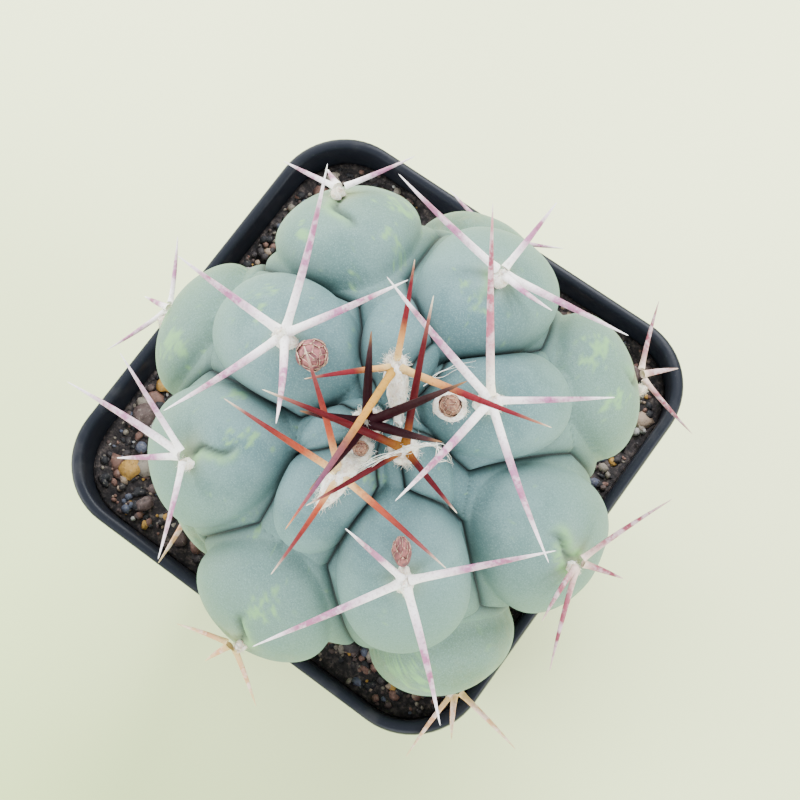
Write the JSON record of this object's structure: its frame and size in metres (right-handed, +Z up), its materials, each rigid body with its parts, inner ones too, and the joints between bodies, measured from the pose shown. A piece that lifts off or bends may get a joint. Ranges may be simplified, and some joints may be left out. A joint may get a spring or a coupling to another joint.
{
  "type": "potted round cactus",
  "caption": "Round, flattened cactus with pillow-like ribs, woolly areoles and long spines, growing in a square tapered plastic nursery pot filled with gritty soil.",
  "frame": {"origin": "centre of the pot's flat base, on the surface it stands on", "axes": "+Z up along the pot's axis, X and Y square to the pot's sides; the stem leans towards +X and -Y"},
  "size_m": [0.0893, 0.0882, 0.1359],
  "materials": {
    "pot_plastic": "black moulded plastic with a soft bluish sheen on the lip",
    "potting_soil": "dark, dry, crumbly potting soil",
    "stem_skin": "waxy blue-green skin, matt and finely granular, paler on the domes",
    "old_spines": "bone-white spines flushed pink, in white wool",
    "young_spines": "dark red to orange-yellow spines, in white wool",
    "bud_scales": "pink-brown overlapping scales with cream margins",
    "grit_stone": "rough grit in reddish brown, tan, ochre and blue-grey"
  },
  "bodies": {
    "root": {"areole_00": "young_spines", "areole_01": "young_spines", "areole_02": "young_spines", "areole_03": "young_spines", "areole_04": "old_spines", "areole_05": "old_spines", "areole_06": "old_spines", "areole_07": "old_spines", "areole_08": "old_spines", "areole_09": "old_spines", "areole_10": "old_spines", "areole_11": "old_spines", "areole_12": "old_spines", "areole_13": "old_spines", "areole_14": "old_spines", "areole_15": "old_spines", "areole_16": "old_spines", "cactus_stem": "stem_skin", "flower_bud_03": "bud_scales", "flower_bud_04": "bud_scales", "flower_bud_05": "bud_scales", "flower_bud_06": "bud_scales", "grit_stone_01": "grit_stone", "grit_stone_02": "grit_stone", "grit_stone_03": "grit_stone", "grit_stone_04": "grit_stone", "grit_stone_05": "grit_stone", "grit_stone_06": "grit_stone", "grit_stone_07": "grit_stone", "grit_stone_08": "grit_stone", "grit_stone_09": "grit_stone", "grit_stone_10": "grit_stone", "grit_stone_11": "grit_stone", "grit_stone_12": "grit_stone", "grit_stone_13": "grit_stone", "grit_stone_14": "grit_stone", "grit_stone_15": "grit_stone", "grit_stone_16": "grit_stone", "grit_stone_17": "grit_stone", "grit_stone_18": "grit_stone", "pot": "pot_plastic", "potting_soil": "potting_soil"}
  },
  "joints": []
}
